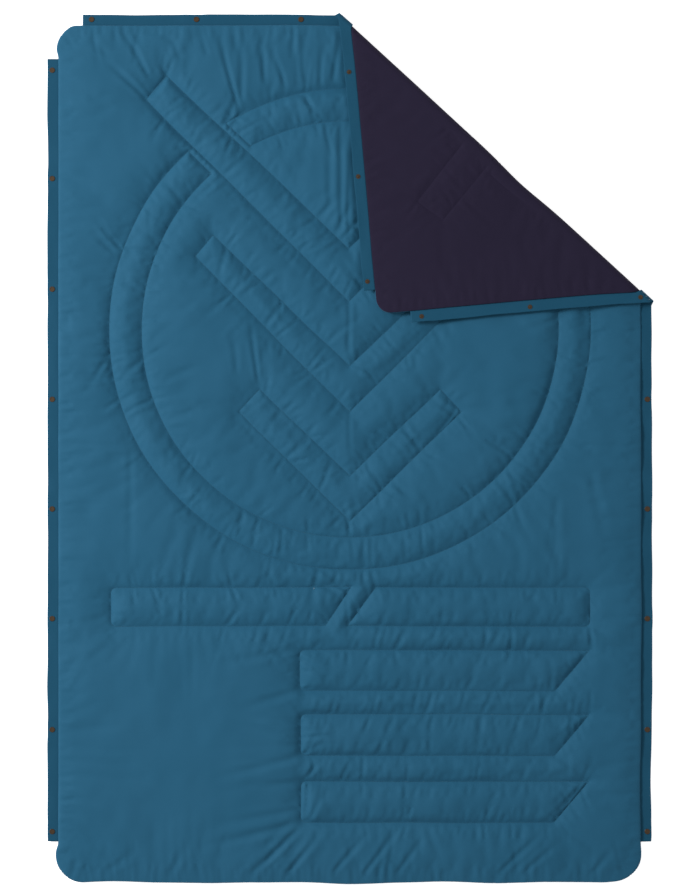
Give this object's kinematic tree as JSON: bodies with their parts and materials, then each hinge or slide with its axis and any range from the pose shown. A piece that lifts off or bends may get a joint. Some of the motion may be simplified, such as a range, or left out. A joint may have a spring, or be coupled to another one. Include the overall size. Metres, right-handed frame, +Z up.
{
  "type": "camp blanket",
  "caption": "Rectangular quilted camp blanket with press-snap flaps along its sides and top, lying flat with a corner folded over to show its dark lining.",
  "frame": {"origin": "middle of the overall outline, on the ground under the lining", "axes": "+Z up from the ground through the lining to the face, +Y towards the top edge with the folded corner, +X to the right as seen from above"},
  "size_m": [1.4, 2.001, 0.0312],
  "materials": {
    "face_cloth": "plain-woven recycled ripstop, soft matt sheen",
    "flap_cloth": "the face cloth doubled over, matt",
    "lining_cloth": "plain-woven, matt, dark",
    "fill": "synthetic fibre wadding",
    "tape": "woven stiffening tape",
    "thread": "twisted polyester thread",
    "snap_metal": "antique brass, worn edges",
    "spring_wire": "drawn spring wire"
  },
  "bodies": {
    "blanket": {"lining": "lining_cloth", "insulation": "fill", "face_shell": "face_cloth", "ring_quilting": "thread", "chevron_quilting": "thread", "bar_quilting": "thread", "right_flap": "flap_cloth", "right_flap_tape": "tape", "right_snap_caps": "snap_metal", "right_snap_studs": "snap_metal", "top_flap": "flap_cloth", "top_flap_tape": "tape", "top_snap_caps": "snap_metal", "top_snap_sockets": "snap_metal", "top_snap_springs": "spring_wire"},
    "left_flap": {"left_flap": "flap_cloth", "left_flap_tape": "tape", "left_snap_caps": "snap_metal", "left_snap_sockets": "snap_metal", "left_snap_springs": "spring_wire"},
    "corner": {"corner_lining": "lining_cloth", "corner_insulation": "fill", "corner_face_shell": "face_cloth", "corner_ring_quilting": "thread", "corner_chevron_quilting": "thread", "corner_right_flap": "flap_cloth", "corner_right_flap_tape": "tape", "corner_right_snap_caps": "snap_metal", "corner_right_snap_studs": "snap_metal", "corner_top_flap": "flap_cloth", "corner_top_flap_tape": "tape", "corner_top_snap_caps": "snap_metal", "corner_top_snap_studs": "snap_metal"}
  },
  "joints": [
    {"name": "corner_fold", "type": "hinge", "parent": "blanket", "child": "corner", "pos_m": [0.4871, 0.53158, 0.0156], "axis": [-0.7373, 0.6756, 0], "range_deg": [0, 179.8]},
    {"name": "left_flap_swing", "type": "hinge", "parent": "blanket", "child": "left_flap", "pos_m": [-0.6732, -0.008, 0.0064], "axis": [0, 1, 0], "range_deg": [0, 60]}
  ]
}
